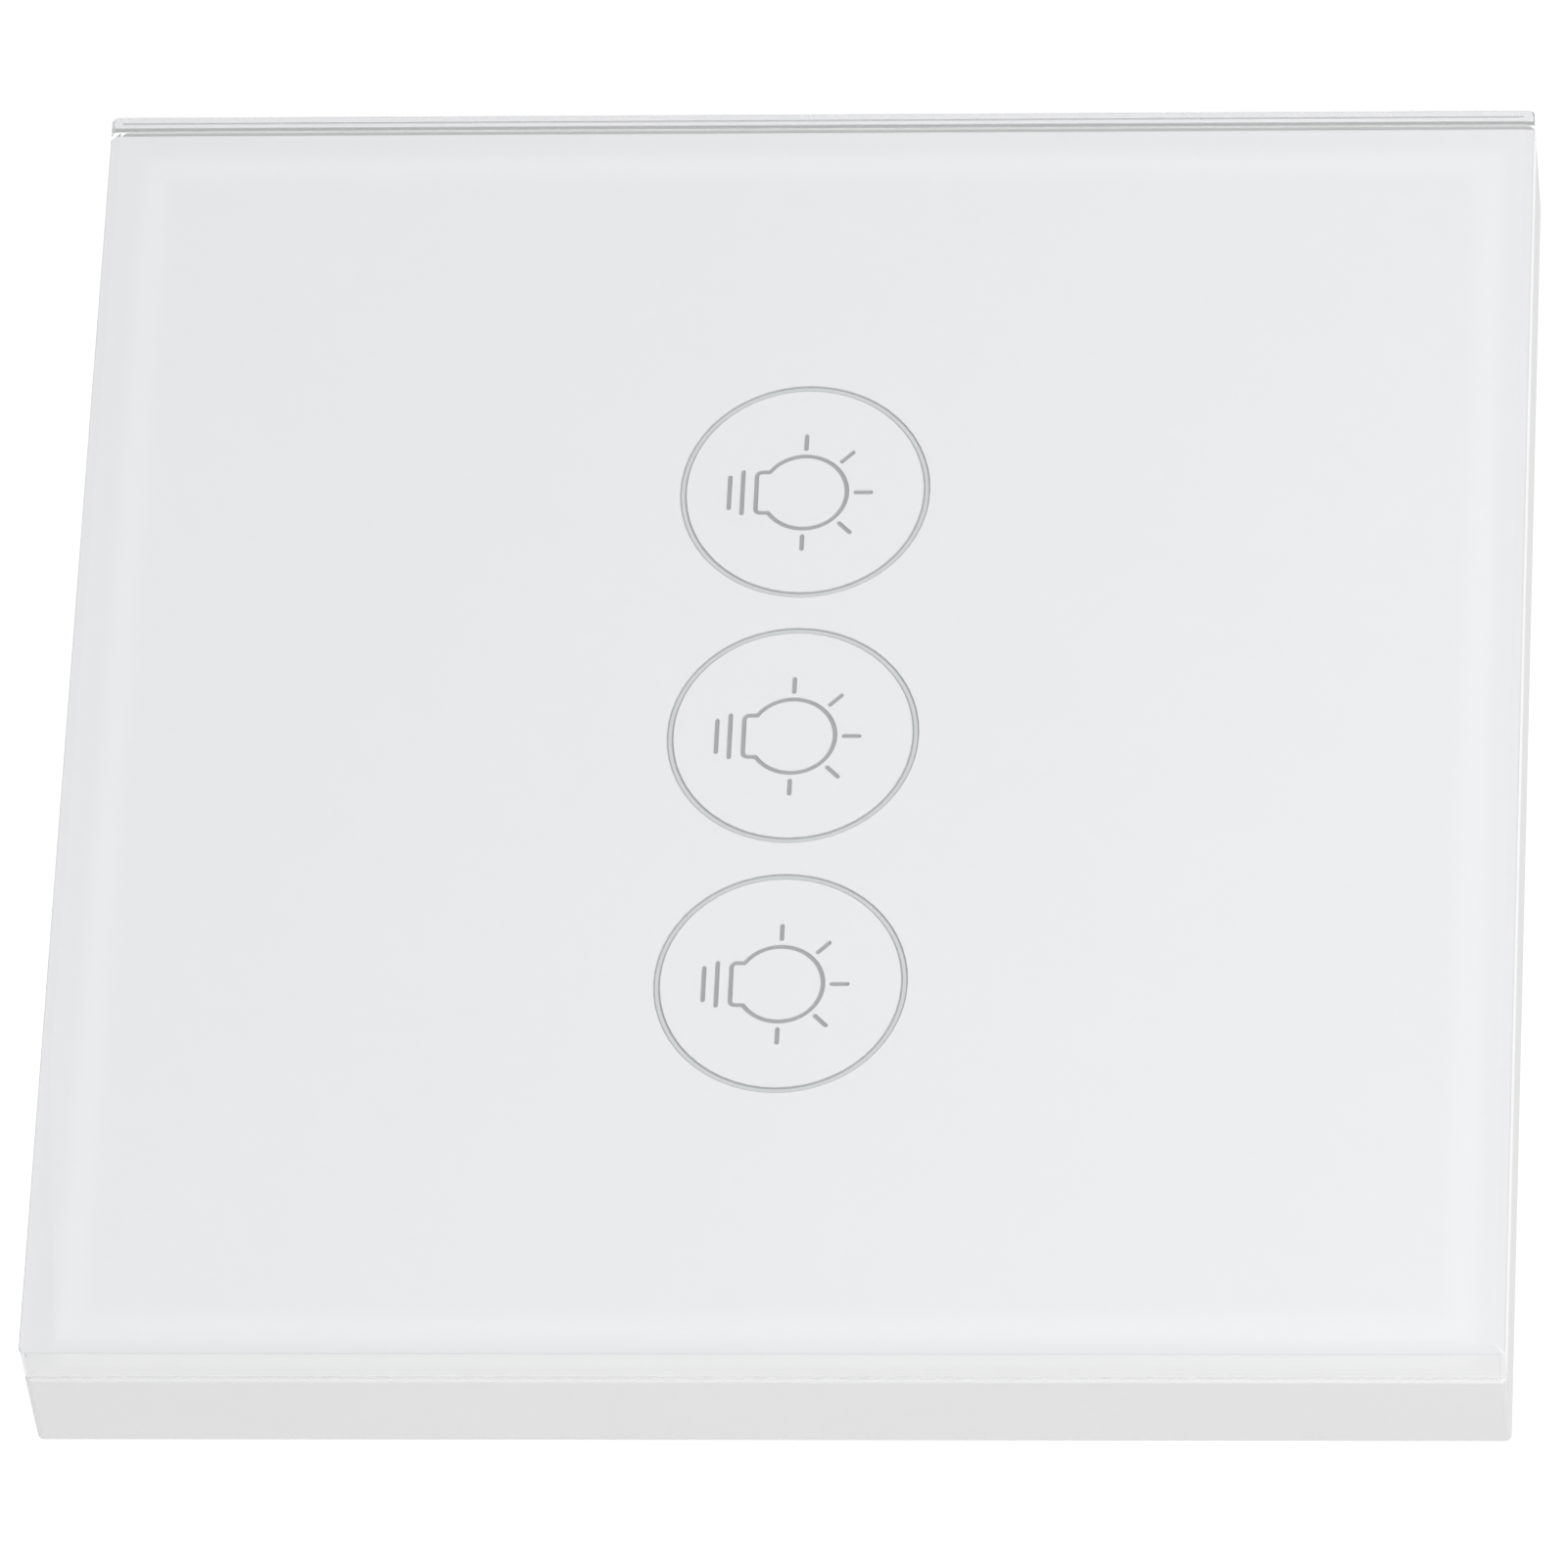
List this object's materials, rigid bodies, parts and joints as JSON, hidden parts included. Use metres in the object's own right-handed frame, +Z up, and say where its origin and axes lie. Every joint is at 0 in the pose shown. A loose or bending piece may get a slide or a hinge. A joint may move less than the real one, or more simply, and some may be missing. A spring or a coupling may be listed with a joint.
{
  "type": "touch light switch",
  "caption": "Square white glass touch switch for several lamps, with ring and bulb icons, a clip-off front and a wall-box base with screw terminals.",
  "frame": {"origin": "the middle of the wall plane, where the back rim of the front frame rests", "axes": "+X right along the row of icons as seen from the room, +Y into the wall, +Z up"},
  "size_m": [0.086, 0.0353, 0.086],
  "materials": {
    "clear_glass": "polished",
    "white_print": "screen-printed white",
    "grey_film": "translucent grey film",
    "adhesive_grey": "adhesive foam sheet",
    "white_frame": "fine satin",
    "white_base": "fine satin",
    "baffle_black": "matt",
    "green_board": "solder mask",
    "brown_board": "laminate",
    "blue_board": "solder mask",
    "copper": "copper",
    "brass": "plain brass",
    "nickel_brass": "nickel-plated brass",
    "gold_pin": "gold flash",
    "led_white": "clear resin over phosphor",
    "chip_black": "moulded epoxy",
    "ceramic_grey": "ceramic",
    "tinned_metal": "tinned",
    "zinc_steel": "zinc-plated",
    "spring_steel": "bright spring steel",
    "soft_iron": "nickel-plated iron",
    "black_plastic": "moulded",
    "terminal_green": "moulded",
    "relay_blue": "moulded",
    "bobbin_white": "moulded",
    "copper_wire": "enamelled copper wire",
    "ferrite": "sintered ferrite",
    "yellow_tape": "polyester tape",
    "can_sleeve": "shrink sleeve",
    "varistor_blue": "dipped resin",
    "fuse_ceramic": "glazed ceramic",
    "choke_green": "shrink sleeve over ferrite"
  },
  "bodies": {
    "base": {"mounting_yoke": "zinc_steel", "base_frame": "white_base", "retaining_clips": "spring_steel", "clip_rivets": "zinc_steel", "rear_housing": "white_base", "housing_screws": "zinc_steel", "power_board": "brown_board", "header_socket": "black_plastic", "socket_pins": "gold_pin", "terminal_housings": "terminal_green", "terminal_bars": "brass", "relay_bases": "black_plastic", "relay_cases": "relay_blue", "relay_bobbins": "bobbin_white", "relay_windings": "copper_wire", "relay_yokes": "soft_iron", "relay_fixed_contacts": "brass", "relay_pins": "tinned_metal", "transformer_core": "ferrite", "transformer_winding": "yellow_tape", "transformer_bobbin": "black_plastic", "input_capacitor": "can_sleeve", "output_capacitor": "can_sleeve", "varistor": "varistor_blue", "line_fuse": "fuse_ceramic", "filter_choke": "choke_green", "power_chips": "chip_black"},
    "front_panel": {"glass_panel": "clear_glass", "back_print": "white_print", "icon_film": "grey_film", "panel_adhesive": "adhesive_grey", "front_frame": "white_frame", "light_baffles": "baffle_black", "touch_board": "green_board", "touch_electrodes": "copper", "indicator_leds": "led_white", "touch_controller": "chip_black", "controller_legs": "tinned_metal", "radio_board": "blue_board", "radio_shield": "tinned_metal", "board_passives": "ceramic_grey", "header_strip": "black_plastic", "header_pins": "gold_pin"},
    "terminal_screw_1": {"terminal_screw_1": "zinc_steel"},
    "terminal_cage_1": {"terminal_cage_1": "nickel_brass"},
    "terminal_screw_2": {"terminal_screw_2": "zinc_steel"},
    "terminal_cage_2": {"terminal_cage_2": "nickel_brass"},
    "terminal_screw_3": {"terminal_screw_3": "zinc_steel"},
    "terminal_cage_3": {"terminal_cage_3": "nickel_brass"},
    "terminal_screw_4": {"terminal_screw_4": "zinc_steel"},
    "terminal_cage_4": {"terminal_cage_4": "nickel_brass"},
    "terminal_screw_5": {"terminal_screw_5": "zinc_steel"},
    "terminal_cage_5": {"terminal_cage_5": "nickel_brass"},
    "relay_armature_1": {"relay_armature_1": "soft_iron", "contact_leaf_1": "copper"},
    "relay_armature_2": {"relay_armature_2": "soft_iron", "contact_leaf_2": "copper"},
    "relay_armature_3": {"relay_armature_3": "soft_iron", "contact_leaf_3": "copper"}
  },
  "joints": [
    {"name": "panel_release", "type": "slide", "parent": "base", "child": "front_panel", "axis": [0, -1, 0], "range_m": [0, 0.015], "deforming": ["retaining_clips"]},
    {"name": "terminal_screw_1_turn", "type": "hinge", "parent": "base", "child": "terminal_screw_1", "pos_m": [-0.01524, 0.021, -0.0213], "axis": [0, -1, 0], "range_deg": [0, 2737]},
    {"name": "terminal_cage_1_rise", "type": "slide", "parent": "base", "child": "terminal_cage_1", "axis": [0, 1, 0], "range_m": [0, 0.0038]},
    {"name": "terminal_screw_2_turn", "type": "hinge", "parent": "base", "child": "terminal_screw_2", "pos_m": [-0.00762, 0.021, -0.0213], "axis": [0, -1, 0], "range_deg": [0, 2737]},
    {"name": "terminal_cage_2_rise", "type": "slide", "parent": "base", "child": "terminal_cage_2", "axis": [0, 1, 0], "range_m": [0, 0.0038]},
    {"name": "terminal_screw_3_turn", "type": "hinge", "parent": "base", "child": "terminal_screw_3", "pos_m": [0, 0.021, -0.0213], "axis": [0, -1, 0], "range_deg": [0, 2737]},
    {"name": "terminal_cage_3_rise", "type": "slide", "parent": "base", "child": "terminal_cage_3", "axis": [0, 1, 0], "range_m": [0, 0.0038]},
    {"name": "terminal_screw_4_turn", "type": "hinge", "parent": "base", "child": "terminal_screw_4", "pos_m": [0.00762, 0.021, -0.0213], "axis": [0, -1, 0], "range_deg": [0, 2737]},
    {"name": "terminal_cage_4_rise", "type": "slide", "parent": "base", "child": "terminal_cage_4", "axis": [0, 1, 0], "range_m": [0, 0.0038]},
    {"name": "terminal_screw_5_turn", "type": "hinge", "parent": "base", "child": "terminal_screw_5", "pos_m": [0.01524, 0.021, -0.0213], "axis": [0, -1, 0], "range_deg": [0, 2737]},
    {"name": "terminal_cage_5_rise", "type": "slide", "parent": "base", "child": "terminal_cage_5", "axis": [0, 1, 0], "range_m": [0, 0.0038]},
    {"name": "relay_armature_1_tilt", "type": "hinge", "parent": "base", "child": "relay_armature_1", "pos_m": [-0.0182, 0.0148, 0.00301], "axis": [1, 0, 0], "range_deg": [0, 5.5], "stiffness_Nm_per_rad": 0.03},
    {"name": "relay_armature_2_tilt", "type": "hinge", "parent": "base", "child": "relay_armature_2", "pos_m": [-0.0074, 0.0148, 0.00301], "axis": [1, 0, 0], "range_deg": [0, 5.5], "stiffness_Nm_per_rad": 0.03},
    {"name": "relay_armature_3_tilt", "type": "hinge", "parent": "base", "child": "relay_armature_3", "pos_m": [0.0034, 0.0148, 0.00301], "axis": [1, 0, 0], "range_deg": [0, 5.5], "stiffness_Nm_per_rad": 0.03}
  ],
  "couplings": [
    {"joint": "terminal_screw_1_turn", "follows": "terminal_cage_1_rise", "rad_per_m": 12566},
    {"joint": "terminal_screw_2_turn", "follows": "terminal_cage_2_rise", "rad_per_m": 12566},
    {"joint": "terminal_screw_3_turn", "follows": "terminal_cage_3_rise", "rad_per_m": 12566},
    {"joint": "terminal_screw_4_turn", "follows": "terminal_cage_4_rise", "rad_per_m": 12566},
    {"joint": "terminal_screw_5_turn", "follows": "terminal_cage_5_rise", "rad_per_m": 12566}
  ]
}
